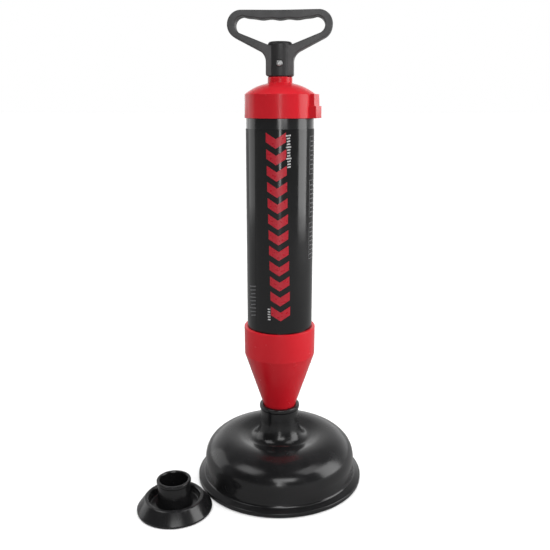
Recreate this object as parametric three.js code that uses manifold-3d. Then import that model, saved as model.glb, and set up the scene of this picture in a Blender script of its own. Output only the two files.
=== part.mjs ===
// Hand-pump drain plunger: a barrel with a sliding piston, a rubber bell cup and a spare small adapter cup.
// Millimetres, +Z up. The origin is on the barrel's axis, on the surface that the cup stands on.
import * as THREE from 'three';
import { mergeVertices } from 'three/addons/utils/BufferGeometryUtils.js';
import Module from 'manifold-3d';

const wasm = await Module();
wasm.setup();

// Driving dimensions
const GAP = 0.3; // clearance between neighbouring pieces
const CUP_RADIUS = 79.9;
const COLLAR_RADIUS = 18.3;
const COLLAR_BEAD_RADIUS = 19.2;
const COLLAR_TOP = 75.2;
const CUP_BORE_TOP = 14.8; // the collar's socket tapers with the nozzle
const CUP_BORE_BOTTOM = 12.9;
const CUP_LEDGE = 41; // the ledge in the collar that the nozzle stands on
const TUBE_RADIUS = 30;
const TUBE_BORE = 28;
const TUBE_BOTTOM = 131.1;
const TUBE_TOP = 362;
const LABEL_TOP = 337;
const NOZZLE_RIM = 155;
const NOZZLE_EDGE = 128; // where the nozzle's skirt turns into its cone
const TUBE_SEAT = NOZZLE_EDGE + 0.5; // the ledge inside the nozzle under the barrel's seal
const NOZZLE_RADIUS = 33.3;
const CONE_SLOPE = 1 / 3; // radius lost per millimetre of height
const SPIGOT_TOP_RADIUS = 14.5;
const SPIGOT_TIP_RADIUS = 12.6;
const NOZZLE_PASSAGE = 9.6;
const CAP_BOTTOM = 345.9;
const CAP_SHOULDER = 366.3;
const CAP_RADIUS = 31.3;
const NECK_RADIUS = 10.8;
const NECK_TOP = 380.6;
const ROD_RADIUS = 7.5;
const ROD_BORE = 5.5;
const ROD_TOP = 403.8;
const BUSH_RADIUS = 9.2;
const BUSH_FLANGE_RADIUS = 12;
const BUSH_LEDGE = 370; // the ledge inside the cap over the bush's flange
const BUSH_FLANGE_THICKNESS = 2.4;
const PISTON_BOTTOM = 143.8;
const PISTON_RADIUS = 26.6;
const PISTON_DISC_THICKNESS = 4;
const PISTON_SEAL_HEIGHT = 6.8;
const PISTON_SEAL_BORE = 22;
const WASHER_RADIUS = 7;
const WASHER_THICKNESS = 1.2;
const BUMPER_RADIUS = 13;
const BUMPER_HEIGHT = 6;
const END_PLUG_LENGTH = 24;
const END_PLUG_WEB = 6;
const TOP_PLUG_BOTTOM = 380;
const SCREW_HOLE = 2.2;
const CROSS_HOLE = 2; // radius of the handle screw's hole through handle and rod
const HANDLE_YAW = -4; // degrees about the rod, at rest
const HANDLE_THICKNESS = 16;
const HANDLE_TOP = 435.2;
const SOCKET_BOTTOM = NECK_TOP + GAP;
const SOCKET_TOP = 409.8;
const SOCKET_RADIUS = 10.6;
const HANDLE_SCREW_HEIGHT = 391.8;
const HANDLE_SCREW_SEAT = 9.2; // from the rod's axis to the underside of the screw's head
const ADAPTER_PLACE = [-95.9, -62.4];

const BIG = 40; // facets round the large pieces
const MEDIUM = 32;
const SMALL = 24;
const TINY = 12;

const radians = THREE.MathUtils.degToRad;

const colours = {
  red: { color: 0xb3161f, roughness: 0.22, metalness: 0 },
  blackGloss: { color: 0x151517, roughness: 0.18, metalness: 0 },
  blackMatte: { color: 0x2b2b2d, roughness: 0.55, metalness: 0 },
  rubber: { color: 0x1b1b1d, roughness: 0.42, metalness: 0 },
  seal: { color: 0x222224, roughness: 0.6, metalness: 0 },
  rod: { color: 0x333336, roughness: 0.3, metalness: 0 },
  nylon: { color: 0xd8d4c8, roughness: 0.5, metalness: 0 },
  steel: { color: 0xb9bbbe, roughness: 0.3, metalness: 1 },
};

const plunger = new THREE.Group();

function piece(name, geometry, finish, parent = plunger) {
  const mesh = new THREE.Mesh(geometry, new THREE.MeshStandardMaterial(colours[finish]));
  mesh.name = name;
  parent.add(mesh);
  return mesh;
}

// Turns an outline of [radius, height] points about +Z: up the outside, then down the inside.
function turned(outline, facets) {
  const first = outline[0];
  const last = outline[outline.length - 1];
  const onAxis = first[0] === 0 && last[0] === 0;
  const points = (onAxis ? outline : [...outline, first]).map(([r, z]) => new THREE.Vector2(r, z));
  return new THREE.LatheGeometry(points, facets).rotateX(Math.PI / 2);
}

function rod(radius, bottom, top, facets) {
  return turned([[0, bottom], [radius, bottom], [radius, top], [0, top]], facets);
}

function ring(inner, outer, bottom, top, facets) {
  return turned([[outer, bottom], [outer, top], [inner, top], [inner, bottom]], facets);
}

// Points on a round corner of the outline, from one angle to another in degrees.
function arc(centreR, centreZ, radius, from, to, steps) {
  const points = [];
  for (let i = 0; i <= steps; i += 1) {
    const angle = radians(from + ((to - from) * i) / steps);
    points.push([centreR + radius * Math.cos(angle), centreZ + radius * Math.sin(angle)]);
  }
  return points;
}

function solid(geometry) {
  const bare = geometry.clone();
  bare.deleteAttribute('normal');
  bare.deleteAttribute('uv');
  const merged = mergeVertices(bare, 1e-4);
  const corners = merged.index.array;
  const kept = [];
  for (let i = 0; i < corners.length; i += 3) {
    const [a, b, c] = corners.slice(i, i + 3);
    if (a !== b && b !== c && c !== a) kept.push(a, b, c);
  }
  return new wasm.Manifold(new wasm.Mesh({
    numProp: 3,
    vertProperties: new Float32Array(merged.attributes.position.array),
    triVerts: new Uint32Array(kept),
  }));
}

function geometryOf(manifold) {
  const mesh = manifold.getMesh();
  const geometry = new THREE.BufferGeometry();
  geometry.setAttribute('position', new THREE.BufferAttribute(mesh.vertProperties, 3));
  geometry.setIndex(new THREE.BufferAttribute(mesh.triVerts, 1));
  return geometry;
}

function join(base, ...others) {
  return geometryOf(others.reduce((sum, other) => sum.add(solid(other)), solid(base)));
}

function cut(base, ...tools) {
  return geometryOf(tools.reduce((rest, tool) => rest.subtract(solid(tool)), solid(base)));
}

// The bell cup: a flanged lip, a round shoulder, a shallow dish on top and a beaded collar for the nozzle.
function largeCup() {
  const outside = [
    [CUP_RADIUS - 0.5, 0],
    [CUP_RADIUS, 0.6],
    [CUP_RADIUS, 3.6],
    [79, 4.5],
    [74.5, 5.9],
    [73.1, 8],
    [72.7, 11.5],
    [72.7, 19.5],
    [72.3, 24.5],
    [70.9, 29.5],
    [68.3, 34],
    [64.6, 37.8],
    [60, 40.9],
    [54.5, 43.2],
    [48, 44.4],
    [41, 44.2],
    [34.5, 42.5],
    [30, 41.3],
    [26.8, 41.4],
    [23.2, 43.9],
    [20.6, 48],
    [19.1, 53],
    [COLLAR_RADIUS, 58],
    [COLLAR_RADIUS, COLLAR_TOP - 4.2],
    [COLLAR_BEAD_RADIUS, COLLAR_TOP - 3.2],
    [COLLAR_BEAD_RADIUS, COLLAR_TOP - 0.8],
    [COLLAR_BEAD_RADIUS - 0.8, COLLAR_TOP],
  ];
  const socket = [
    [CUP_BORE_TOP + 1.3, COLLAR_TOP],
    [CUP_BORE_TOP, COLLAR_TOP - 3.6],
    [CUP_BORE_BOTTOM, CUP_LEDGE],
    [NOZZLE_PASSAGE, CUP_LEDGE],
  ];
  const inside = [
    [NOZZLE_PASSAGE, 37.4],
    [48, 36.6],
    [56, 35],
    [61.5, 31.5],
    [66, 26],
    [68.7, 18],
    [69.4, 9],
    [72.5, 0],
  ];
  return turned([...outside, ...socket, ...inside], BIG);
}

// The small cup: a short cone round a shallow trough, with a neck in the middle that fits the nozzle's tip.
function adapterCup() {
  const skirt = [
    [33.7, 0],
    [34, 0.6],
    [34, 2],
    [27.1, 11.4],
    [26.3, 12.2],
    [23.8, 12.2],
    [23, 11.2],
    [22.4, 5.6],
    [21.2, 4.6],
    [16.4, 4.6],
  ];
  const neck = [
    [15.2, 6],
    [14.6, 25.6],
    [15.4, 26.6],
    [15.4, 28.5],
    [14.8, 29.2],
    [13.3, 29.2],
    [12.8, 28.4],
    [12.7, 13.4],
    [10.4, 12.2],
  ];
  const underside = [
    [10.4, 2.6],
    [25.8, 2.6],
    [27.6, 2],
    [30.8, 0],
  ];
  return turned([...skirt, ...neck, ...underside], MEDIUM);
}

// The nozzle: a skirt glued over the barrel, a cone, and a tapered spigot for the cup's collar.
function nozzleCone() {
  const coneBottom = NOZZLE_EDGE - (NOZZLE_RADIUS - 0.1 - SPIGOT_TOP_RADIUS) / CONE_SLOPE;
  const outside = [
    [SPIGOT_TIP_RADIUS - 1, CUP_LEDGE + GAP],
    [SPIGOT_TIP_RADIUS, CUP_LEDGE + 1.5],
    [SPIGOT_TOP_RADIUS, coneBottom],
    [NOZZLE_RADIUS - 0.1, NOZZLE_EDGE],
    [NOZZLE_RADIUS, NOZZLE_RIM - 0.8],
    [NOZZLE_RADIUS - 0.8, NOZZLE_RIM],
  ];
  const inside = [
    [TUBE_RADIUS + GAP, NOZZLE_RIM],
    [TUBE_RADIUS + GAP, TUBE_SEAT],
    [27, TUBE_SEAT],
    [27, NOZZLE_EDGE - 4],
    [NOZZLE_PASSAGE, coneBottom],
    [NOZZLE_PASSAGE, CUP_LEDGE + GAP],
  ];
  return turned([...outside, ...inside], BIG);
}

// A box that stands out from the cap between two heights, centred on the cap's front right.
function lugBlock(reach, halfWidth, bottom, top) {
  const inner = 27;
  const block = new THREE.BoxGeometry(reach - inner, 2 * halfWidth, top - bottom);
  block.translate((reach + inner) / 2, 0, (top + bottom) / 2);
  return block.rotateZ(radians(-17));
}

// The top cap: a neck for the rod's bush, a domed shoulder, a skirt glued over the barrel and a stepped lug.
function topCap() {
  const lugStep = 356.2;
  const body = turned([
    [0, CAP_BOTTOM],
    [CAP_RADIUS - 0.4, CAP_BOTTOM],
    [CAP_RADIUS, CAP_BOTTOM + 0.5],
    [CAP_RADIUS - 0.2, CAP_SHOULDER],
    [28.8, 368],
    [26.1, 369.7],
    [23.1, 371.4],
    [19.4, 373.1],
    [NECK_RADIUS + 1.6, 375],
    [NECK_RADIUS, 376],
    [NECK_RADIUS, NECK_TOP - 0.6],
    [NECK_RADIUS - 0.6, NECK_TOP],
    [0, NECK_TOP],
  ], BIG);
  const hollow = turned([
    [0, CAP_BOTTOM - 1],
    [TUBE_RADIUS + GAP, CAP_BOTTOM - 1],
    [TUBE_RADIUS + GAP, TUBE_TOP + GAP],
    [27.4, TUBE_TOP + GAP],
    [27.4, 364.6],
    [21, 368],
    [13, BUSH_LEDGE],
    [BUSH_RADIUS + GAP, BUSH_LEDGE],
    [BUSH_RADIUS + GAP, NECK_TOP + 1],
    [0, NECK_TOP + 1],
  ], BIG);
  const lug = [lugBlock(33.5, 9.6, lugStep - 1, CAP_SHOULDER), lugBlock(35.3, 10.4, CAP_BOTTOM, lugStep)];
  return cut(join(body, ...lug), hollow);
}

// A screw on +Z with its head at the top.
function screw(headRadius, headHeight, shankRadius, length) {
  return turned([
    [0, -length],
    [shankRadius * 0.4, -length],
    [shankRadius, 2.5 - length],
    [shankRadius, 0],
    [headRadius, 0],
    [headRadius, headHeight * 0.5],
    [headRadius * 0.6, headHeight],
    [0, headHeight],
  ], TINY);
}

// A cylinder on -Y, from the rod's axis outwards, at the height of the handle's screw.
function sideHole(radius, from, to) {
  return rod(radius, from, to, SMALL).rotateX(Math.PI / 2).translate(0, 0, HANDLE_SCREW_HEIGHT);
}

// The handle's outline in its own plane, x across and y up, made of one mirrored pair of arms.
const grip = {
  plateHalf: 11.9,
  cornerRadius: 2,
  filletRadius: 10.3,
  armAngle: 27,
  loopX: 33.1,
  loopRadius: 11.85,
  holeArmAngle: 21.3,
  holeX: 31.2,
  holeZ: 423,
  holeRadius: 7.2,
  holeFoot: 9.5,
};

// How far the finger side of the grip hangs below the hole's flat top at x.
function fingerSwell(x) {
  const t = x / grip.holeX;
  const swell = 2.2 * (1 - t ** 4);
  const ripple = 0.45 * Math.cos((2 * Math.PI * x) / 15.4) * (1 - t ** 2);
  return swell + ripple;
}

function handleOutline() {
  const g = grip;
  const arm = radians(g.armAngle);
  const loopZ = HANDLE_TOP - g.loopRadius;
  const tangentX = g.loopX + g.loopRadius * Math.sin(arm);
  const tangentZ = loopZ - g.loopRadius * Math.cos(arm);
  const filletX = g.plateHalf + g.filletRadius;
  const filletZ = tangentZ - Math.tan(arm) * (tangentX - filletX) - g.filletRadius / Math.cos(arm);
  const cornerX = g.plateHalf - g.cornerRadius;
  const cornerZ = SOCKET_BOTTOM + g.cornerRadius;
  const shape = new THREE.Shape();
  shape.moveTo(-cornerX, SOCKET_BOTTOM);
  shape.absarc(cornerX, cornerZ, g.cornerRadius, -Math.PI / 2, 0, false);
  shape.absarc(filletX, filletZ, g.filletRadius, Math.PI, Math.PI / 2 + arm, true);
  shape.absarc(g.loopX, loopZ, g.loopRadius, arm - Math.PI / 2, Math.PI / 2, false);
  shape.absarc(-g.loopX, loopZ, g.loopRadius, Math.PI / 2, (3 * Math.PI) / 2 - arm, false);
  shape.absarc(-filletX, filletZ, g.filletRadius, Math.PI / 2 - arm, 0, true);
  shape.absarc(-cornerX, cornerZ, g.cornerRadius, Math.PI, (3 * Math.PI) / 2, false);
  return shape;
}

function fingerHole() {
  const g = grip;
  const arm = radians(g.holeArmAngle);
  const tangentX = g.holeX + g.holeRadius * Math.sin(arm);
  const tangentZ = g.holeZ - g.holeRadius * Math.cos(arm);
  const footZ = tangentZ - Math.tan(arm) * (tangentX - g.holeFoot);
  const hole = new THREE.Path();
  hole.moveTo(-g.holeFoot, footZ);
  hole.lineTo(g.holeFoot, footZ);
  hole.absarc(g.holeX, g.holeZ, g.holeRadius, arm - Math.PI / 2, Math.PI / 2, false);
  const steps = 28;
  for (let i = 1; i < steps; i += 1) {
    const x = g.holeX * (1 - (2 * i) / steps);
    hole.lineTo(x, g.holeZ + g.holeRadius - fingerSwell(x));
  }
  hole.absarc(-g.holeX, g.holeZ, g.holeRadius, Math.PI / 2, (3 * Math.PI) / 2 - arm, false);
  return hole;
}

function dHandle() {
  const outline = handleOutline();
  outline.holes.push(fingerHole());
  const frame = new THREE.ExtrudeGeometry(outline, {
    depth: HANDLE_THICKNESS,
    bevelEnabled: false,
    curveSegments: 9,
  }).rotateX(Math.PI / 2).translate(0, HANDLE_THICKNESS / 2, 0);
  const socket = turned([
    [0, SOCKET_BOTTOM],
    [SOCKET_RADIUS - 0.8, SOCKET_BOTTOM],
    [SOCKET_RADIUS, SOCKET_BOTTOM + 0.8],
    ...arc(SOCKET_RADIUS - 2.6, SOCKET_TOP - 2.6, 2.6, 0, 90, 3),
    [0, SOCKET_TOP],
  ], SMALL);
  const bore = rod(ROD_RADIUS + GAP, SOCKET_BOTTOM - 1, ROD_TOP + 0.7, SMALL);
  return cut(join(frame, socket), bore, sideHole(CROSS_HOLE, 0, 12), sideHole(3.1, 8.9, 12));
}

// Pieces that stand still on the floor
piece('large_rubber_cup', largeCup(), 'rubber');
piece('small_adapter_cup', adapterCup(), 'rubber').position.set(...ADAPTER_PLACE, 0);

// The barrel and what is fixed to it
piece('nozzle_cone', nozzleCone(), 'red');
const sealRing = ring(27.9, TUBE_RADIUS - 0.1, TUBE_SEAT + GAP, TUBE_BOTTOM - GAP, BIG);
piece('tube_seal_ring', sealRing, 'seal');
piece('barrel_tube', ring(TUBE_BORE, TUBE_RADIUS, TUBE_BOTTOM, TUBE_TOP, BIG), 'blackGloss');
const label = ring(TUBE_RADIUS + 0.1, TUBE_RADIUS + 0.35, NOZZLE_RIM + GAP, LABEL_TOP, BIG);
piece('barrel_label', label, 'blackGloss');
piece('top_cap', topCap(), 'red');
const bushFlangeTop = BUSH_LEDGE - GAP;
const bushBottom = bushFlangeTop - BUSH_FLANGE_THICKNESS;
const bush = turned([
  [BUSH_FLANGE_RADIUS, bushBottom],
  [BUSH_FLANGE_RADIUS, bushFlangeTop],
  [BUSH_RADIUS, bushFlangeTop],
  [BUSH_RADIUS, NECK_TOP - 0.5],
  [ROD_RADIUS + GAP, NECK_TOP - 0.5],
  [ROD_RADIUS + GAP, bushBottom],
], SMALL);
piece('rod_guide_bush', bush, 'nylon');

// The piston on the rod's lower end, from the bottom up
const lowerDiscTop = PISTON_BOTTOM + PISTON_DISC_THICKNESS;
const sealBottom = lowerDiscTop + GAP;
const sealTop = sealBottom + PISTON_SEAL_HEIGHT;
const upperDiscTop = sealTop + GAP + PISTON_DISC_THICKNESS;
const rodBottom = upperDiscTop + GAP;
const washerTop = PISTON_BOTTOM - GAP;
const washerBottom = washerTop - WASHER_THICKNESS;
const headTop = washerBottom - GAP;
const pistonScrew = screw(4.4, 2.8, 1.9, 34).rotateX(Math.PI).translate(0, 0, headTop);
piece('piston_screw', pistonScrew, 'steel');
piece('piston_washer', ring(SCREW_HOLE, WASHER_RADIUS, washerBottom, washerTop, SMALL), 'steel');
piece('lower_piston_disc', ring(SCREW_HOLE, PISTON_RADIUS, PISTON_BOTTOM, lowerDiscTop, MEDIUM), 'nylon');
piece('piston_seal_ring', ring(PISTON_SEAL_BORE, TUBE_BORE - 0.4, sealBottom, sealTop, BIG), 'seal');
const upperDisc = turned([
  [PISTON_SEAL_BORE - 0.5, sealBottom],
  [PISTON_SEAL_BORE - 0.5, sealTop + GAP],
  [PISTON_RADIUS, sealTop + GAP],
  [PISTON_RADIUS, upperDiscTop],
  [SCREW_HOLE, upperDiscTop],
  [SCREW_HOLE, sealBottom],
], MEDIUM);
piece('upper_piston_disc', upperDisc, 'nylon');
const bumper = ring(ROD_RADIUS + GAP, BUMPER_RADIUS, rodBottom, rodBottom + BUMPER_HEIGHT, SMALL);
piece('bumper_ring', bumper, 'seal');

// The rod and its handle, turned together about the rod's axis
const rodGroup = new THREE.Group();
rodGroup.rotation.z = radians(HANDLE_YAW);
plunger.add(rodGroup);
const plainRod = ring(ROD_BORE, ROD_RADIUS, rodBottom, ROD_TOP, SMALL);
piece('piston_rod', cut(plainRod, sideHole(CROSS_HOLE, 0, 9)), 'rod', rodGroup);
const endPlug = turned([
  [ROD_BORE - GAP, rodBottom],
  [ROD_BORE - GAP, rodBottom + END_PLUG_LENGTH],
  [0, rodBottom + END_PLUG_LENGTH],
  [0, rodBottom + END_PLUG_LENGTH - END_PLUG_WEB],
  [SCREW_HOLE, rodBottom + END_PLUG_LENGTH - END_PLUG_WEB],
  [SCREW_HOLE, rodBottom],
], SMALL);
piece('rod_end_plug', endPlug, 'nylon', rodGroup);
const topPlug = cut(rod(ROD_BORE - GAP, TOP_PLUG_BOTTOM, ROD_TOP, SMALL), sideHole(CROSS_HOLE, -3.2, 9));
piece('rod_top_plug', topPlug, 'nylon', rodGroup);
piece('d_handle', dHandle(), 'blackMatte', rodGroup);
const handleScrew = screw(2.75, 1.6, 1.7, 12.2).rotateX(Math.PI / 2)
  .translate(0, -HANDLE_SCREW_SEAT, HANDLE_SCREW_HEIGHT);
piece('handle_screw', handleScrew, 'steel', rodGroup);

export default plunger;
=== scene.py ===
"""Looks for the hand-pump drain plunger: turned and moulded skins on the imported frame, in a soft studio."""

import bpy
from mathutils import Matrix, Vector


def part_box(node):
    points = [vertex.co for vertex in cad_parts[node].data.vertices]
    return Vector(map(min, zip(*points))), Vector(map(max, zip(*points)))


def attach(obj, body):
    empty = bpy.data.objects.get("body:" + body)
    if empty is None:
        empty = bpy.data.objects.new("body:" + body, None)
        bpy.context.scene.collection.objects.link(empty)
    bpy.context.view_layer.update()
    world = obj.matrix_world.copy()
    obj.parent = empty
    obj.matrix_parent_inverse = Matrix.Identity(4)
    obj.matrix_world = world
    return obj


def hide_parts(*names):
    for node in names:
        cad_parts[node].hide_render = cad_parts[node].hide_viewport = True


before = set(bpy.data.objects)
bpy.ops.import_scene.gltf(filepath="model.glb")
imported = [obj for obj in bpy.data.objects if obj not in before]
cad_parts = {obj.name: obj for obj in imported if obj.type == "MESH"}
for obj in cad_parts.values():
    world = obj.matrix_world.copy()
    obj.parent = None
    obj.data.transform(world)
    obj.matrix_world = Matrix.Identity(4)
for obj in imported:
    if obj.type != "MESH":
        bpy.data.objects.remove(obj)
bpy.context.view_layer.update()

import math

import bmesh
import bpy
from mathutils import Matrix, Vector

MM = 0.001


# ------------------------------------------------- driving dimensions, from the frame, in millimetres
def low(node):
    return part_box(node)[0] / MM


def high(node):
    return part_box(node)[1] / MM


def centre(node):
    return (low(node) + high(node)) / 2


def radius(node):
    """The largest radius of a turned node about its own axis."""
    return (high(node).x - low(node).x) / 2


GAP = 0.3
CUP_RADIUS = radius("large_rubber_cup")
COLLAR_TOP = high("large_rubber_cup").z
TUBE_RADIUS = radius("barrel_tube")
TUBE_TOP = high("barrel_tube").z
NOZZLE_RADIUS = radius("nozzle_cone")
NOZZLE_RIM = high("nozzle_cone").z
NOZZLE_TIP = low("nozzle_cone").z
CAP_BOTTOM = low("top_cap").z
CAP_TOP = high("top_cap").z
ROD_RADIUS = 7.5
SOCKET_BOTTOM = low("d_handle").z
HANDLE_TOP = high("d_handle").z
HANDLE_YAW = math.radians(-4)
HANDLE_THICKNESS = 16.0
SCREW_HEIGHT = centre("handle_screw").z
ADAPTER = centre("small_adapter_cup")


# ------------------------------------------------- mesh helpers
def arc(cx, cy, r, start, end, steps):
    """Points on a circle from one angle to another, in degrees."""
    angles = [math.radians(start + (end - start) * i / steps) for i in range(steps + 1)]
    return [(cx + r * math.cos(a), cy + r * math.sin(a)) for a in angles]


def rounded(corners, steps=5):
    """A closed outline whose corners (x, y, radius) are replaced with arcs."""
    points = []
    count = len(corners)
    for i, (x, y, r) in enumerate(corners):
        here = Vector((x, y))
        before = Vector(corners[i - 1][:2]) - here
        after = Vector(corners[(i + 1) % count][:2]) - here
        if r <= 0 or before.length == 0 or after.length == 0:
            points.append((x, y))
            continue
        turn = before.angle(after)
        if turn > math.radians(179):
            points.append((x, y))
            continue
        reach = min(r / math.tan(turn / 2), 0.49 * before.length, 0.49 * after.length)
        r = reach * math.tan(turn / 2)
        bisector = (before.normalized() + after.normalized()).normalized()
        middle = here + bisector * (r / math.sin(turn / 2))
        first = here + before.normalized() * reach - middle
        last = here + after.normalized() * reach - middle
        sweep = math.atan2(first.x * last.y - first.y * last.x, first.dot(last))
        for k in range(steps + 1):
            spun = Matrix.Rotation(sweep * k / steps, 2) @ first
            points.append((middle.x + spun.x, middle.y + spun.y))
    return points


def smooth_run(points, steps=6):
    """A Catmull-Rom curve through the points."""
    padded = [points[0], *points, points[-1]]
    run = []
    for a, b, c, d in zip(padded, padded[1:], padded[2:], padded[3:]):
        for k in range(steps):
            t = k / steps
            run.append(tuple(
                0.5 * (2 * q + (r - p) * t + (2 * p - 5 * q + 4 * r - s) * t * t
                       + (3 * q - p - 3 * r + s) * t ** 3)
                for p, q, r, s in zip(a, b, c, d)
            ))
    run.append(points[-1])
    return run


def new_object(name, mesh):
    piece = bpy.data.objects.new(name, mesh)
    bpy.context.scene.collection.objects.link(piece)
    return piece


def soften(mesh, angle=32):
    """Smooth shading that stops at real edges."""
    mesh.polygons.foreach_set("use_smooth", [True] * len(mesh.polygons))
    mesh.set_sharp_from_angle(angle=math.radians(angle))


def turned(name, outline, steps=128, at=(0, 0)):
    """A closed [radius, height] outline in millimetres, turned about a vertical axis."""
    bm = bmesh.new()
    rows = []
    for r, z in outline:
        if r < 1e-6:
            rows.append([bm.verts.new((0, 0, z * MM))])
            continue
        turns = [2 * math.pi * k / steps for k in range(steps)]
        rows.append([bm.verts.new((r * MM * math.cos(a), r * MM * math.sin(a), z * MM)) for a in turns])
    closed = len(rows[0]) > 1 or len(rows[-1]) > 1
    pairs = list(zip(rows, rows[1:] + rows[:1])) if closed else list(zip(rows, rows[1:]))
    for a, b in pairs:
        for k in range(steps):
            n = (k + 1) % steps
            corners = [a[k % len(a)], a[n % len(a)], b[n % len(b)], b[k % len(b)]]
            unique = list(dict.fromkeys(corners))
            if len(unique) > 2:
                bm.faces.new(unique)
    bmesh.ops.recalc_face_normals(bm, faces=bm.faces)
    bmesh.ops.translate(bm, verts=bm.verts, vec=(at[0] * MM, at[1] * MM, 0))
    mesh = bpy.data.meshes.new(name)
    bm.to_mesh(mesh)
    bm.free()
    soften(mesh)
    return new_object(name, mesh)


def fixed_mesh(piece):
    """Replaces the piece's mesh with what its modifiers make of it."""
    bpy.context.view_layer.update()
    graph = bpy.context.evaluated_depsgraph_get()
    mesh = bpy.data.meshes.new_from_object(piece.evaluated_get(graph))
    piece.modifiers.clear()
    if piece.type == "MESH":
        piece.data = mesh
        return piece
    name = piece.name
    bpy.data.objects.remove(piece)
    return new_object(name, mesh)


def combine(piece, tool, operation):
    cut = piece.modifiers.new("combine", "BOOLEAN")
    cut.operation = operation
    cut.solver = "EXACT"
    cut.object = tool
    piece = fixed_mesh(piece)
    bpy.data.objects.remove(tool)
    soften(piece.data)
    return piece


def flat_faces_flat(piece):
    """Keeps broad faces flat where they meet a rounded edge."""
    weighted = piece.modifiers.new("weighted", "WEIGHTED_NORMAL")
    weighted.keep_sharp = True
    weighted.weight = 90
    return piece


def block(name, size, edge, place, taper=0.0):
    """A box with rounded edges; taper draws its outer face in towards the top."""
    bm = bmesh.new()
    bmesh.ops.create_cube(bm, size=1)
    for v in bm.verts:
        if v.co.x > 0 and v.co.z > 0:
            v.co.x -= taper / size[0]
    bmesh.ops.scale(bm, verts=bm.verts, vec=Vector(size) * MM)
    bmesh.ops.bevel(bm, geom=bm.edges, offset=edge * MM, segments=3, profile=0.5, affect="EDGES")
    bmesh.ops.translate(bm, verts=bm.verts, vec=Vector(place) * MM)
    mesh = bpy.data.meshes.new(name)
    bm.to_mesh(mesh)
    bm.free()
    soften(mesh)
    return new_object(name, mesh)


# ------------------------------------------------- material helpers
class Look:
    """A Principled material with named shortcuts for its procedural detail."""

    def __init__(self, name, colour, roughness, metallic=0.0, coat=0.0, specular=0.5):
        self.material = bpy.data.materials.new(name)
        self.material.use_nodes = True
        self.nodes = self.material.node_tree.nodes
        self.links = self.material.node_tree.links
        self.shader = self.nodes["Principled BSDF"]
        self.shader.inputs["Base Color"].default_value = (*colour, 1)
        self.shader.inputs["Roughness"].default_value = roughness
        self.shader.inputs["Metallic"].default_value = metallic
        self.shader.inputs["Coat Weight"].default_value = coat
        self.shader.inputs["Coat Roughness"].default_value = 0.12
        self.shader.inputs["Specular IOR Level"].default_value = specular
        self.place = self.nodes.new("ShaderNodeTexCoord").outputs["Object"]
        self.normal = None

    def stretched(self, scale):
        mapping = self.nodes.new("ShaderNodeMapping")
        mapping.inputs["Scale"].default_value = scale
        self.links.new(self.place, mapping.inputs["Vector"])
        return mapping.outputs["Vector"]

    def noise(self, scale, detail=3.0, stretch=(1, 1, 1), rough=0.5, distortion=0.0):
        """scale is in features per metre."""
        node = self.nodes.new("ShaderNodeTexNoise")
        node.inputs["Scale"].default_value = scale
        node.inputs["Detail"].default_value = detail
        node.inputs["Roughness"].default_value = rough
        node.inputs["Distortion"].default_value = distortion
        self.links.new(self.stretched(stretch), node.inputs["Vector"])
        return node.outputs["Fac"]

    def ranged(self, value, start, end, low_value, high_value):
        node = self.nodes.new("ShaderNodeMapRange")
        node.inputs["From Min"].default_value = start
        node.inputs["From Max"].default_value = end
        node.inputs["To Min"].default_value = low_value
        node.inputs["To Max"].default_value = high_value
        self.links.new(value, node.inputs["Value"])
        return node.outputs["Result"]

    def mix(self, factor, first, second):
        node = self.nodes.new("ShaderNodeMix")
        node.data_type = "RGBA"
        self.links.new(factor, node.inputs["Factor"])
        for socket, colour in ((node.inputs["A"], first), (node.inputs["B"], second)):
            if isinstance(colour, tuple):
                socket.default_value = (*colour, 1)
            else:
                self.links.new(colour, socket)
        return node.outputs["Result"]

    def colour(self, output):
        self.links.new(output, self.shader.inputs["Base Color"])

    def roughness(self, output):
        self.links.new(output, self.shader.inputs["Roughness"])

    def bump(self, height, distance, strength=1.0):
        """Adds a bump whose full height is distance, in millimetres."""
        node = self.nodes.new("ShaderNodeBump")
        node.inputs["Distance"].default_value = distance * MM
        node.inputs["Strength"].default_value = strength
        self.links.new(height, node.inputs["Height"])
        if self.normal is not None:
            self.links.new(self.normal, node.inputs["Normal"])
        self.normal = node.outputs["Normal"]
        self.links.new(self.normal, self.shader.inputs["Normal"])


def red_plastic():
    look = Look("red_gloss_moulding", (0.7, 0.016, 0.027), 0.24, specular=0.25)
    clouds = look.noise(14, 2)
    look.colour(look.mix(look.ranged(clouds, 0.35, 0.65, 0, 1), (0.67, 0.013, 0.023), (0.75, 0.02, 0.032)))
    look.roughness(look.ranged(look.noise(90, 4), 0.3, 0.7, 0.16, 0.28))
    look.bump(look.noise(260, 2), 0.012)
    look.bump(look.noise(1400, 3, (1, 1, 0.25)), 0.004)
    return look.material


def black_tube():
    look = Look("black_gloss_tube", (0.018, 0.018, 0.019), 0.18, coat=0.1)
    drawn = look.noise(700, 3, (1, 1, 0.015))
    patches = look.ranged(look.noise(20, 3), 0.3, 0.7, 0, 1)
    look.colour(look.mix(patches, (0.016, 0.016, 0.017), (0.022, 0.022, 0.023)))
    look.roughness(look.ranged(look.noise(60, 5), 0.3, 0.7, 0.11, 0.24))
    look.bump(drawn, 0.006)
    return look.material


def label_film():
    look = Look("black_label_film", (0.005, 0.005, 0.006), 0.14, specular=0.5)
    patches = look.ranged(look.noise(25, 3), 0.3, 0.7, 0, 1)
    look.colour(look.mix(patches, (0.003, 0.003, 0.0035), (0.006, 0.006, 0.0065)))
    look.roughness(look.ranged(look.noise(45, 5), 0.3, 0.7, 0.08, 0.2))
    look.bump(look.noise(55, 2, (1, 1, 0.3)), 0.03)
    return look.material


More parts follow.
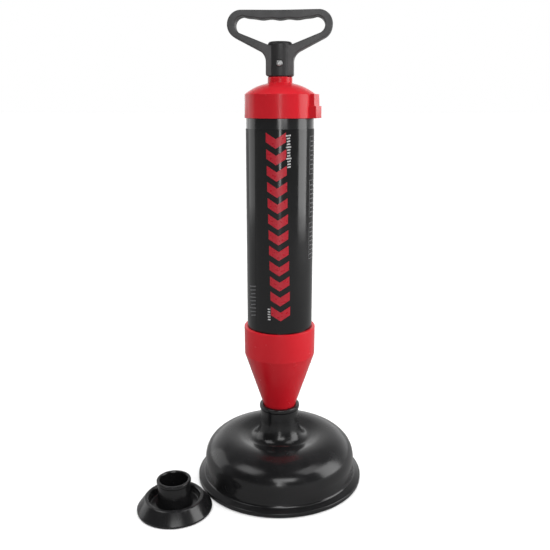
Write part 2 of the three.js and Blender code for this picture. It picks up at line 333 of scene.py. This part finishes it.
def ink(name, colour):
    look = Look(name, colour, 0.3)
    darker = tuple(c * 0.86 for c in colour)
    look.colour(look.mix(look.ranged(look.noise(500, 4), 0.35, 0.65, 0, 1), darker, colour))
    look.roughness(look.ranged(look.noise(300, 3), 0.3, 0.7, 0.24, 0.38))
    look.bump(look.noise(1500, 2), 0.004)
    return look.material


def handle_plastic():
    look = Look("black_grained_moulding", (0.055, 0.055, 0.057), 0.42)
    patches = look.ranged(look.noise(40, 4), 0.3, 0.7, 0, 1)
    frame_tone = look.mix(patches, (0.058, 0.058, 0.0595), (0.079, 0.079, 0.081))
    across = look.nodes.new("ShaderNodeVectorMath")
    across.operation = "LENGTH"
    look.links.new(look.stretched((1, 1, 0)), across.inputs[0])
    axes = look.nodes.new("ShaderNodeSeparateXYZ")
    look.links.new(look.place, axes.inputs["Vector"])
    # painted shade: the round socket barrel gets a darker copy of the same moulding colour, standing in for
    # the dark reflections its curve catches
    painted_shade_on_socket = look.nodes.new("ShaderNodeMath")
    painted_shade_on_socket.operation = "MULTIPLY"
    look.links.new(look.ranged(across.outputs["Value"], 10.7 * MM, 10.8 * MM, 1, 0), painted_shade_on_socket.inputs[0])
    look.links.new(look.ranged(axes.outputs["Z"], 410.4 * MM, 411 * MM, 1, 0), painted_shade_on_socket.inputs[1])
    # the painted shade mask swaps the moulding tone for a near-black on the socket barrel
    look.colour(look.mix(painted_shade_on_socket.outputs["Value"], frame_tone, (0.02, 0.02, 0.021)))
    look.roughness(look.ranged(look.noise(150, 4), 0.3, 0.7, 0.4, 0.56))
    look.bump(look.noise(2600, 3, rough=0.6), 0.03)
    look.bump(look.noise(120, 2), 0.03)
    return look.material


def rubber(name, colour, roughness, dust=0.25):
    look = Look(name, colour, roughness)
    blooms = look.ranged(look.noise(28, 5, distortion=0.4), 0.42, 0.72, 0, 1)
    lighter = tuple(c * 1.6 + 0.003 for c in colour)
    base = look.mix(blooms, colour, lighter)
    specks = look.ranged(look.noise(900, 1), 0.77, 0.8, 0, dust)
    look.colour(look.mix(specks, base, (0.22, 0.22, 0.21)))
    look.roughness(look.ranged(look.noise(70, 5), 0.3, 0.7, roughness - 0.05, roughness + 0.08))
    look.bump(look.noise(700, 3), 0.006)
    look.bump(look.noise(45, 2), 0.05)
    return look.material


def nylon():
    look = Look("natural_nylon", (0.74, 0.71, 0.63), 0.45)
    patches = look.ranged(look.noise(80, 3), 0.3, 0.7, 0, 1)
    look.colour(look.mix(patches, (0.68, 0.65, 0.56), (0.78, 0.75, 0.67)))
    look.roughness(look.ranged(look.noise(200, 3), 0.3, 0.7, 0.38, 0.55))
    look.bump(look.noise(900, 3), 0.02)
    return look.material


def rod_plastic():
    look = Look("drawn_rod_plastic", (0.04, 0.04, 0.043), 0.28)
    look.colour(look.mix(look.ranged(look.noise(60, 3, (1, 1, 0.1)), 0.3, 0.7, 0, 1), (0.034, 0.034, 0.036),
                         (0.05, 0.05, 0.053)))
    look.roughness(look.ranged(look.noise(160, 4, (1, 1, 0.05)), 0.3, 0.7, 0.2, 0.38))
    look.bump(look.noise(900, 2, (1, 1, 0.01)), 0.01)
    return look.material


def zinc():
    look = Look("zinc_plated_steel", (0.5, 0.5, 0.51), 0.34, metallic=1.0)
    patches = look.ranged(look.noise(700, 3), 0.3, 0.7, 0, 1)
    look.colour(look.mix(patches, (0.38, 0.38, 0.39), (0.5, 0.5, 0.49)))
    look.roughness(look.ranged(look.noise(1200, 4), 0.3, 0.7, 0.34, 0.5))
    look.bump(look.noise(2200, 3), 0.01)
    return look.material


RED = red_plastic()
TUBE_BLACK = black_tube()
FILM = label_film()
HANDLE_BLACK = handle_plastic()
CUP_RUBBER = rubber("black_cup_rubber", (0.008, 0.008, 0.0085), 0.2)
SEAL_RUBBER = rubber("black_seal_rubber", (0.02, 0.02, 0.021), 0.55, dust=0)
NYLON = nylon()
ROD_PLASTIC = rod_plastic()
ZINC = zinc()
RED_INK = ink("red_ink", (0.60, 0.012, 0.03))
WHITE_INK = ink("white_ink", (0.66, 0.66, 0.66))
GREY_INK = ink("grey_ink", (0.17, 0.17, 0.175))


def finish_piece(piece, material, body, slot, *nodes):
    piece.data.materials.clear()
    piece.data.materials.append(material)
    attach(piece, body)
    if nodes:
        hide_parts(*nodes)
    return piece


# ------------------------------------------------- rubber cups
def large_cup():
    collar, bead = 18.3, 19.2
    ledge, passage = 41, 9.6
    lip = rounded([
        (72.5, 0, 0.4), (CUP_RADIUS - 0.3, 0, 0.7), (CUP_RADIUS, 3.9, 0.9), (78.8, 4.55, 0.5),
    ], 4)
    flange = [(76.8, 5.2), (75.0, 5.75), (74.3, 6.05)]
    wall = smooth_run([
        (73.9, 6.3), (73.3, 7.4), (72.9, 9), (72.7, 11.5), (72.6, 15.5), (72.7, 19.5), (72.3, 24.5),
        (70.9, 29.5), (68.3, 34), (64.6, 37.8), (60, 40.9), (54.5, 43.2), (48, 44.3), (41, 44.1),
        (34.5, 42.5), (30, 41.3), (26.8, 41.4), (23.2, 43.9), (20.6, 48), (19.1, 53), (collar, 58),
    ], 6)
    mouth = rounded([
        (collar, 62, 0), (collar, COLLAR_TOP - 4.4, 0.9), (bead, COLLAR_TOP - 3.3, 0.7),
        (bead, COLLAR_TOP, 1.1), (16.1, COLLAR_TOP, 0.5), (14.8, COLLAR_TOP - 3.6, 0.6),
        (12.9, ledge, 0.5), (passage, ledge, 0.4), (passage, 37.4, 0.6), (30, 37.1, 0),
    ], 5)
    inside = smooth_run([
        (40, 36.9), (48, 36.6), (56, 35), (61.5, 31.5), (66, 26), (68.7, 18), (69.4, 9), (71.4, 3),
    ], 5)
    return turned("bell_cup", [*lip, *flange, *wall, *mouth, *inside], 176)


def adapter():
    ring_top, trough, neck_top, underside = 12.2, 4.6, 29.2, 2.6
    outline = rounded([
        (30.8, 0, 0.4), (33.8, 0, 0.5), (34.0, 2, 0.6), (27, 11.5, 0.8), (26.3, ring_top, 0.6),
        (23.8, ring_top, 0.6), (23.1, 11.2, 0.6), (22.4, trough, 1.5), (15.4, trough, 1.8), (14.6, 25.6, 0.9),
        (15.4, 26.4, 0.5), (15.4, neck_top, 0.8), (13.2, neck_top, 0.5), (12.7, 28.2, 0.6), (12.7, 13, 0.5),
        (10.4, 12.4, 0.5), (10.4, underside, 0.5), (26.6, underside, 1.4),
    ], 4)
    return turned("adapter_cup", outline, 128, at=(ADAPTER.x, ADAPTER.y))


# ------------------------------------------------- barrel
def nozzle():
    edge = 128.0
    cone_bottom = 72
    passage, funnel = 9.6, 27
    bore = TUBE_RADIUS + GAP
    outline = rounded([
        (passage, NOZZLE_TIP, 0.5), (11.8, NOZZLE_TIP, 0.6), (12.6, NOZZLE_TIP + 1.4, 0.6),
        (14.5, cone_bottom, 3), (NOZZLE_RADIUS - 0.12, edge, 1.2), (NOZZLE_RADIUS, NOZZLE_RIM, 0.7),
        (bore, NOZZLE_RIM, 0.35), (bore, edge + 0.5, 0.3), (funnel, edge + 0.5, 0.3), (funnel, edge - 4, 1),
        (passage, cone_bottom, 2),
    ], 6)
    return turned("nozzle", outline, 144)


def cap():
    shoulder = 366.3
    neck = 10.8
    seat = TUBE_RADIUS + GAP
    tube_stop = TUBE_TOP + GAP
    bush_r, bush_ledge = 9.5, 370
    outline = [
        *rounded([
            (seat, CAP_BOTTOM, 0.3), (31.25, CAP_BOTTOM, 0.5), (31.1, shoulder - 0.2, 0.9), (28.9, 367.85, 0),
        ], 5),
        *smooth_run([(26.1, 369.6), (23.1, 371.3), (19.4, 373.0), (15.5, 374.3), (12.6, 375.0)], 4),
        *rounded([
            (11.9, 375.25, 0), (neck, 375.8, 0.5), (neck, CAP_TOP, 0.7), (bush_r, CAP_TOP, 0.3),
            (bush_r, bush_ledge, 0.4), (13, bush_ledge, 0.5), (21, 368, 2), (27.4, 364.6, 1),
            (27.4, tube_stop, 0.2), (seat, tube_stop, 0.2), (seat, 350, 0),
        ], 5),
    ]
    piece = turned("cap", outline, 144)
    turn = Matrix.Rotation(math.radians(-17), 4, "Z")
    step = 356.2
    inner = seat + 0.35
    overlap = 6
    upper = (33.5, 9.4, step - 1, shoulder, 0.5)
    lower = (35.2, 10.3, CAP_BOTTOM, step, 0.2)
    for reach, half, bottom, top, taper in (upper, lower):
        size = (reach - inner + overlap, 2 * half, top - bottom)
        lug = block("lug", size, 0.45, ((reach + inner - overlap) / 2, 0, (top + bottom) / 2), taper)
        lug.data.transform(turn)
        bore = turned("bore", [(0, 300), (inner, 300), (inner, 400), (0, 400)], 144)
        lug = combine(lug, bore, "DIFFERENCE")
        piece = combine(piece, lug, "UNION")
    return flat_faces_flat(piece)


def simple_ring(name, inner, outer, bottom, top, edge=0.25, steps=96):
    corners = [(inner, bottom, edge), (outer, bottom, edge), (outer, top, edge), (inner, top, edge)]
    return turned(name, rounded(corners, 3), steps)


def printed(name, shapes, thickness=0.06):
    """Quads wrapped round the label, each a list of (angle in degrees, height in millimetres) corners."""
    base = radius("barrel_label") - 0.01
    across = 6
    bm = bmesh.new()
    for a, b, c, d in shapes:
        layers = []
        for r in (base, base + thickness):
            row_pair = []
            for left, right in ((a, b), (d, c)):
                row = []
                for k in range(across + 1):
                    t = k / across
                    angle = math.radians(left[0] + (right[0] - left[0]) * t - 90)
                    z = left[1] + (right[1] - left[1]) * t
                    row.append(bm.verts.new((r * MM * math.cos(angle), r * MM * math.sin(angle), z * MM)))
                row_pair.append(row)
            layers.append(row_pair)
        (inner_low, inner_high), (outer_low, outer_high) = layers
        for k in range(across):
            bm.faces.new((outer_low[k], outer_low[k + 1], outer_high[k + 1], outer_high[k]))
            bm.faces.new((inner_high[k], inner_high[k + 1], inner_low[k + 1], inner_low[k]))
            bm.faces.new((inner_low[k], inner_low[k + 1], outer_low[k + 1], outer_low[k]))
            bm.faces.new((outer_high[k], outer_high[k + 1], inner_high[k + 1], inner_high[k]))
        bm.faces.new((inner_high[0], inner_low[0], outer_low[0], outer_high[0]))
        bm.faces.new((outer_high[-1], outer_low[-1], inner_low[-1], inner_high[-1]))
    bmesh.ops.recalc_face_normals(bm, faces=bm.faces)
    mesh = bpy.data.meshes.new(name)
    bm.to_mesh(mesh)
    bm.free()
    soften(mesh)
    return new_object(name, mesh)


def label_sleeve():
    """A printed film wrapped once round the tube, its end lapped over its start by one thickness."""
    film = 0.11
    seam = math.radians(-46 - 90)
    inner = TUBE_RADIUS + 0.1
    steps = 180
    bottom, top = low("barrel_label").z, high("barrel_label").z
    bm = bmesh.new()
    rings = []
    for r, z in ((inner, bottom), (inner + film, bottom), (inner + film, top), (inner, top)):
        ring = []
        for k in range(steps + 1):
            lapped = r + (film * 0.9 * k / steps if r > inner else 0)
            angle = seam + 2 * math.pi * k / steps
            ring.append(bm.verts.new((lapped * MM * math.cos(angle), lapped * MM * math.sin(angle), z * MM)))
        rings.append(ring)
    for a, b in zip(rings, rings[1:] + rings[:1]):
        for k in range(steps):
            bm.faces.new((a[k], a[k + 1], b[k + 1], b[k]))
    bm.faces.new([ring[0] for ring in rings])
    bm.faces.new([ring[-1] for ring in reversed(rings)])
    bmesh.ops.recalc_face_normals(bm, faces=bm.faces)
    mesh = bpy.data.meshes.new("label")
    bm.to_mesh(mesh)
    bm.free()
    soften(mesh, 20)
    return new_object("label", mesh)


PRINT_TOP = 333.0
PRINT_BOTTOM = 166.0


def band_angle(z):
    """The printed band runs down the front on a slight slant."""
    return -8 + 9.2 * (PRINT_TOP - z) / (PRINT_TOP - PRINT_BOTTOM)


def chevron_shapes():
    """A column of bold arrowheads that point down the barrel, in place of lettering."""
    count = 12
    pitch = (PRINT_TOP - PRINT_BOTTOM) / count
    half_width = 16.5
    rise = 5.5
    bold = pitch * 0.58
    shapes = []
    for i in range(count):
        tip = PRINT_TOP - pitch * i - pitch * 0.62 + rise * 0.1 - bold * 0.5
        middle = band_angle(tip)
        for side in (-1, 1):
            outer = middle + side * half_width
            edges = [(outer, tip + rise), (middle, tip), (middle, tip + bold), (outer, tip + rise + bold)]
            shapes.append(edges if side < 0 else [edges[1], edges[0], edges[3], edges[2]])
    return shapes


def bar(angle, z, width, height, slant=0.0):
    """An upright bar: width in degrees, height in millimetres."""
    left, right = angle - width / 2, angle + width / 2
    return [(left, z - slant), (right, z), (right, z + height), (left, z + height - slant)]


def tick_shapes():
    """Small white ticks beside the band: a plain scale at the top and a few dashes at the bottom."""
    shapes = []
    for i in range(12):
        long_tick = i % 4 == 0
        z = 331.5 - 2.4 * i
        middle = band_angle(z) + 21
        shapes.append(bar(middle, z, 8.5 if long_tick else 5.5, 1.25, 0.5))
    for i in range(5):
        z = 178 - 2.4 * i
        shapes.append(bar(band_angle(z) - 19.5, z, 4.6, 1.2))
    return shapes


def rule_shapes():
    """Grey ruled panels round the sides, where fine print would be."""
    shapes = []
    for i in range(9):
        z = 197.5 - 3.4 * i
        shapes.append(bar(-55 + (i % 3) * 0.8, z, 19 - (i % 3) * 3, 0.9, 1.8))
    for panel in range(3):
        top = 331 - 38 * panel
        bottom = top - 33
        left, right = 58, 104
        line = 0.5
        for foot in (top - line, bottom):
            shapes.append([(left, foot), (right, foot), (right, foot + line), (left, foot + line)])
        for start in (left, right - 1):
            foot, head = bottom + line, top - line
            shapes.append([(start, foot), (start + 1, foot), (start + 1, head), (start, head)])
        for i in range(7):
            width = (40, 37, 39, 31, 40, 35, 22)[(i + 2 * panel) % 7]
            shapes.append(bar(left + 3 + width / 2, top - 5 - 4 * i, width, 0.9))
    return shapes


# ------------------------------------------------- handle, rod and piston, in the handle's own turn
def filled_outline(name, loops, thickness, edge):
    """A flat outline with holes, in the XZ plane, made thick along Y with rounded edges."""
    curve = bpy.data.curves.new(name, "CURVE")
    curve.dimensions = "2D"
    curve.fill_mode = "BOTH"
    curve.extrude = (thickness / 2 - edge) * MM
    curve.bevel_depth = edge * MM
    curve.bevel_resolution = 3
    curve.offset = -edge * MM
    for loop in loops:
        spline = curve.splines.new("POLY")
        spline.points.add(len(loop) - 1)
        for point, (x, z) in zip(spline.points, loop):
            point.co = (x * MM, z * MM, 0, 1)
        spline.use_cyclic_u = True
    piece = bpy.data.objects.new(name, curve)
    bpy.context.scene.collection.objects.link(piece)
    piece = fixed_mesh(piece)
    piece.data.transform(Matrix.Rotation(math.pi / 2, 4, "X"))
    bm = bmesh.new()
    bm.from_mesh(piece.data)
    bmesh.ops.remove_doubles(bm, verts=bm.verts, dist=0.004 * MM)
    bmesh.ops.recalc_face_normals(bm, faces=bm.faces)
    bm.to_mesh(piece.data)
    bm.free()
    soften(piece.data)
    return piece


def mirrored(points):
    return [(-x, z) for x, z in reversed(points)]


def handle_loops():
    plate, corner, fillet = 11.9, 2.2, 10.3
    arm = 27.0
    loop_x, loop_z, loop_r = 33.1, HANDLE_TOP - 11.85, 11.85
    slope = math.radians(arm)
    start_x = loop_x + loop_r * math.sin(slope)
    start_z = loop_z - loop_r * math.cos(slope)
    fillet_x = plate + fillet
    fillet_z = start_z - math.tan(slope) * (start_x - fillet_x) - fillet / math.cos(slope)
    right = [
        *arc(plate - corner, SOCKET_BOTTOM + corner, corner, -90, 0, 6),
        *arc(fillet_x, fillet_z, fillet, 180, 90 + arm, 12),
        *arc(loop_x, loop_z, loop_r, arm - 90, 90, 40),
    ]
    top = [(x, HANDLE_TOP - 0.35 * (1 - (x / loop_x) ** 2) ** 2) for x in (24, 16, 8, 0, -8, -16, -24)]
    outside = [*right, *top, *mirrored(right)]

    hole_x, hole_z, hole_r, foot = 31.2, HANDLE_TOP - 12.2, 7.2, 9.5
    hole_arm = 21.3
    slope = math.radians(hole_arm)
    start_x = hole_x + hole_r * math.sin(slope)
    foot_z = hole_z - hole_r * math.cos(slope) - math.tan(slope) * (start_x - foot)
    side = [(foot, foot_z), *arc(hole_x, hole_z, hole_r, hole_arm - 90, 90, 32)]
    steps = 90
    grip = []
    for i in range(1, steps):
        x = hole_x * (1 - 2 * i / steps)
        t = x / hole_x
        swell = 2.2 * (1 - t ** 4) + 0.45 * math.cos(2 * math.pi * x / 15.4) * (1 - t ** 2)
        grip.append((x, hole_z + hole_r - swell))
    inside = [*side, *grip, *mirrored(side)]
    return [outside, inside]


def cross_hole(name, r, near, far):
    """A round cutter along -Y at the height of the handle's screw."""
    tool = turned(name, [(0, near), (r, near), (r, far), (0, far)], 48)
    tool.data.transform(Matrix.Translation((0, 0, SCREW_HEIGHT * MM)) @ Matrix.Rotation(math.pi / 2, 4, "X"))
    return tool


def handle():
    piece = filled_outline("handle", handle_loops(), HANDLE_THICKNESS, 1.1)
    socket_top = 409.8
    barrel_r = 10.6
    socket = turned("socket", [(0, SOCKET_BOTTOM), *arc(barrel_r - 0.9, SOCKET_BOTTOM + 0.9, 0.9, -90, 0, 4),
                               *arc(barrel_r - 2.6, socket_top - 2.6, 2.6, 0, 90, 8), (0, socket_top)], 96)
    piece = combine(piece, socket, "UNION")
    bore_r, bore_top = ROD_RADIUS + GAP, 404.5
    bore = rounded([(0, SOCKET_BOTTOM - 1, 0), (bore_r, SOCKET_BOTTOM - 1, 0), (bore_r, bore_top, 0.5),
                    (0, bore_top, 0)])
    piece = combine(piece, turned("bore", bore, 64), "DIFFERENCE")
    piece = combine(piece, cross_hole("shank_hole", 2, 0, 12), "DIFFERENCE")
    piece = combine(piece, cross_hole("head_seat", 3.1, 8.9, 12), "DIFFERENCE")
    return flat_faces_flat(piece)


def screw(name, head_r, head_h, shank_r, length, pitch=1.2):
    """A pan-head screw on +Z with its head at the top, a cross recess and a rolled thread."""
    point = 3
    turns = int((length - point) / pitch)
    root = shank_r * 0.8
    thread = []
    for i in range(turns):
        z = -length + point + i * pitch
        crest = [(shank_r, z + pitch * 0.35), (shank_r, z + pitch * 0.5)]
        thread += [(root, z), *crest, (root, z + pitch * 0.85)]
    head = [(root, 0), (head_r - 0.3, 0), (head_r, 0.3), (head_r, head_h * 0.45)]
    dome = [(head_r * math.cos(a), head_h * 0.45 + head_h * 0.55 * math.sin(a))
            for a in (math.radians(d) for d in (15, 30, 45, 60, 75))]
    tip = [(0, -length), (shank_r * 0.25, -length + 0.4)]
    piece = turned(name, [*tip, *thread, *head, *dome, (0, head_h)], 48)
    for turn in (0, math.pi / 2):
        slot = block("slot", (head_r * 1.15, head_r * 0.26, head_h), 0.06, (0, 0, head_h * 1.02))
        slot.data.transform(Matrix.Rotation(turn + 0.5, 4, "Z"))
        piece = combine(piece, slot, "DIFFERENCE")
    return piece


def handle_screw():
    piece = screw("grip_screw", 2.75, 1.6, 1.7, 12.2)
    place = Matrix.Translation((0, -9.2 * MM, SCREW_HEIGHT * MM))
    piece.data.transform(place @ Matrix.Rotation(math.pi / 2, 4, "X"))
    return piece


def with_yaw(piece):
    piece.data.transform(Matrix.Rotation(HANDLE_YAW, 4, "Z"))
    return piece


def piston_screw():
    top = high("piston_screw").z - 34
    piece = screw("seal_screw", 4.4, 2.8, 1.9, 34)
    piece.data.transform(Matrix.Translation((0, 0, top * MM)) @ Matrix.Rotation(math.pi, 4, "X"))
    return piece


def rod():
    bottom, top = low("piston_rod").z, high("piston_rod").z
    piece = simple_ring("rod", 5.5, ROD_RADIUS, bottom, top, 0.3, 96)
    return combine(piece, cross_hole("rod_hole", 2, 0, 9), "DIFFERENCE")


def top_plug():
    bottom, top = low("rod_top_plug").z, high("rod_top_plug").z
    r = radius("rod_top_plug") - 0.02
    piece = turned("top_plug", rounded([(0, bottom, 0), (r, bottom, 0.4), (r, top, 0.4), (0, top, 0)], 3), 64)
    return combine(piece, cross_hole("plug_hole", 2, -3.2, 9), "DIFFERENCE")


def end_plug():
    bottom, top = low("rod_end_plug").z, high("rod_end_plug").z
    r = radius("rod_end_plug") - 0.02
    outline = rounded([(2.2, bottom, 0.3), (r, bottom, 0.4), (r, top, 0.6), (0, top, 0), (0, top - 6, 0),
                       (2.2, top - 6, 0)], 3)
    return turned("end_plug", outline, 64)


def bush():
    bottom, top = low("rod_guide_bush").z, high("rod_guide_bush").z
    hub = 9.2
    outline = rounded([(ROD_RADIUS + GAP, bottom, 0.3), (12, bottom, 0.3), (12, bottom + 2.4, 0.3),
                       (hub, bottom + 2.4, 0.2), (hub, top, 0.3), (ROD_RADIUS + GAP, top, 0.4)], 3)
    return turned("guide_bush", outline, 96)


def upper_disc():
    bottom, top = low("upper_piston_disc").z, high("upper_piston_disc").z
    r = radius("upper_piston_disc")
    outline = rounded([(2.2, bottom, 0.2), (21.5, bottom, 0.4), (21.5, top - 4, 0.3), (r, top - 4, 0.3),
                       (r, top, 0.5), (2.2, top, 0.2)], 3)
    return turned("upper_disc", outline, 112)


def node_ring(name, node, inner, edge=0.3):
    """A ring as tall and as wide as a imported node, with rounded edges."""
    return simple_ring(name, inner, radius(node), low(node).z, high(node).z, edge, 112)


finish_piece(large_cup(), CUP_RUBBER, "cup", "black_rubber", "large_rubber_cup")
finish_piece(adapter(), CUP_RUBBER, "adapter", "black_rubber", "small_adapter_cup")
finish_piece(nozzle(), RED, "barrel", "red_gloss", "nozzle_cone")
finish_piece(cap(), RED, "barrel", "red_gloss", "top_cap")
finish_piece(node_ring("tube", "barrel_tube", 28), TUBE_BLACK, "barrel", "black_gloss", "barrel_tube")
finish_piece(label_sleeve(), FILM, "barrel", "label_film", "barrel_label")
finish_piece(printed("print_chevrons", chevron_shapes()), RED_INK, "barrel", "red_gloss")
finish_piece(printed("print_ticks", tick_shapes()), WHITE_INK, "barrel", "nylon")
finish_piece(printed("print_rules", rule_shapes()), GREY_INK, "barrel", "nylon")
finish_piece(node_ring("tube_gasket", "tube_seal_ring", 27.9), SEAL_RUBBER, "barrel", "seal_rubber",
             "tube_seal_ring")
finish_piece(bush(), NYLON, "barrel", "nylon", "rod_guide_bush")
finish_piece(node_ring("piston_ring", "piston_seal_ring", 22, 1.2), SEAL_RUBBER, "piston_seal", "seal_rubber",
             "piston_seal_ring")
finish_piece(with_yaw(handle()), HANDLE_BLACK, "rod", "black_matte", "d_handle")
finish_piece(with_yaw(handle_screw()), ZINC, "rod", "steel", "handle_screw")
finish_piece(with_yaw(rod()), ROD_PLASTIC, "rod", "rod_plastic", "piston_rod")
finish_piece(with_yaw(top_plug()), NYLON, "rod", "nylon", "rod_top_plug")
finish_piece(with_yaw(end_plug()), NYLON, "rod", "nylon", "rod_end_plug")
finish_piece(upper_disc(), NYLON, "rod", "nylon", "upper_piston_disc")
finish_piece(node_ring("lower_disc", "lower_piston_disc", 2.2), NYLON, "rod", "nylon", "lower_piston_disc")
finish_piece(node_ring("bumper", "bumper_ring", ROD_RADIUS + GAP, 0.8), SEAL_RUBBER, "rod", "seal_rubber",
             "bumper_ring")
finish_piece(node_ring("washer", "piston_washer", 2.2, 0.15), ZINC, "rod", "steel", "piston_washer")
finish_piece(piston_screw(), ZINC, "rod", "steel", "piston_screw")


# ------------------------------------------------- studio
def floor():
    bpy.ops.mesh.primitive_plane_add(size=60, location=(0, 0, -0.0002))
    plane = bpy.context.object
    plane.name = "floor"
    look = Look("pale_floor", (0.96, 0.96, 0.96), 0.8, specular=0.0)
    paper = look.mix(look.noise(3, 2), (0.95, 0.95, 0.95), (0.97, 0.97, 0.97))
    seen_directly = look.nodes.new("ShaderNodeLightPath").outputs["Is Camera Ray"]
    look.colour(look.mix(seen_directly, (0.32, 0.32, 0.32), paper))
    plane.data.materials.append(look.material)


def area_light(name, azimuth, height, distance, size, power, aim=0.22, lights_matt=True):
    """A soft box; azimuth 0 is at the camera's side and 90 at the object's right, in degrees.

    With lights_matt off it only shows in reflections."""
    light = bpy.data.lights.new(name, "AREA")
    light.shape = "RECTANGLE"
    light.size, light.size_y = size
    light.energy = power
    box = bpy.data.objects.new(name, light)
    box.visible_camera = False
    box.visible_diffuse = lights_matt
    a = math.radians(azimuth)
    box.location = (distance * math.sin(a), -distance * math.cos(a), height)
    box.rotation_euler = (Vector((0, 0, aim)) - box.location).to_track_quat("-Z", "Y").to_euler()
    bpy.context.scene.collection.objects.link(box)


def surroundings():
    """White paper behind the object and a dim room in front of it; the lens sees plain white all round."""
    world = bpy.data.worlds.new("studio")
    world.use_nodes = True
    nodes, links = world.node_tree.nodes, world.node_tree.links
    axes = nodes.new("ShaderNodeSeparateXYZ")
    links.new(nodes.new("ShaderNodeTexCoord").outputs["Generated"], axes.inputs["Vector"])
    room = nodes["Background"]
    product = nodes.new("ShaderNodeMath")
    product.operation = "MULTIPLY"
    ramps = (("Y", 0.1, 0.85, 0.08, 1.3), ("Z", 0.1, 0.6, 1.0, 0.3))
    for index, (axis, start, end, front, back) in enumerate(ramps):
        ramp = nodes.new("ShaderNodeMapRange")
        for socket, value in (("From Min", start), ("From Max", end), ("To Min", front), ("To Max", back)):
            ramp.inputs[socket].default_value = value
        links.new(axes.outputs[axis], ramp.inputs["Value"])
        links.new(ramp.outputs["Result"], product.inputs[index])
    links.new(product.outputs["Value"], room.inputs["Strength"])
    room.inputs["Color"].default_value = (1, 1, 1, 1)
    paper = nodes.new("ShaderNodeBackground")
    paper.inputs["Color"].default_value = (1, 1, 1, 1)
    seen = nodes.new("ShaderNodeMixShader")
    links.new(nodes.new("ShaderNodeLightPath").outputs["Is Camera Ray"], seen.inputs["Fac"])
    links.new(room.outputs["Background"], seen.inputs[1])
    links.new(paper.outputs["Background"], seen.inputs[2])
    links.new(seen.outputs["Shader"], nodes["World Output"].inputs["Surface"])
    bpy.context.scene.world = world


def overhead_light():
    """A very soft light from above that keeps the floor evenly white, and doesn't show in reflections."""
    light = bpy.data.lights.new("overhead", "SUN")
    light.energy = 3.05
    light.angle = math.radians(70)
    sun = bpy.data.objects.new("overhead", light)
    sun.rotation_euler = (math.radians(-5), 0, 0)
    sun.visible_glossy = False
    bpy.context.scene.collection.objects.link(sun)


def studio():
    bpy.context.scene.view_settings.view_transform = "Standard"
    surroundings()
    overhead_light()
    area_light("soft_box_right", 82, 0.45, 1.4, (0.9, 1.4), 15)
    area_light("soft_box_left", -112, 0.5, 1.6, (1.1, 1.2), 4)
    area_light("soft_box_high_left", -62, 1.4, 1.15, (0.9, 0.7), 5, lights_matt=False)
    area_light("soft_box_high_right", 62, 1.4, 1.15, (0.9, 0.7), 3.5, lights_matt=False)
    area_light("soft_strip_front", 0, 0.32, 1.9, (0.2, 0.8), 3.5)
    area_light("soft_box_front_high", 8, 0.9, 1.7, (1.0, 0.45), 7)


def camera():
    """The lens sees 43.5 degrees, from a little above the barrel's middle, looking down at the cup."""
    view = bpy.data.cameras.new("camera")
    view.sensor_width = 36
    view.lens = 45.16
    view.clip_start = 0.01
    eye = bpy.data.objects.new("camera", view)
    eye.location = (-0.0044, -0.62386, 0.357)
    eye.rotation_euler = (math.radians(90 - 13.84), 0, 0)
    bpy.context.scene.collection.objects.link(eye)
    bpy.context.scene.camera = eye


floor()
studio()
camera()
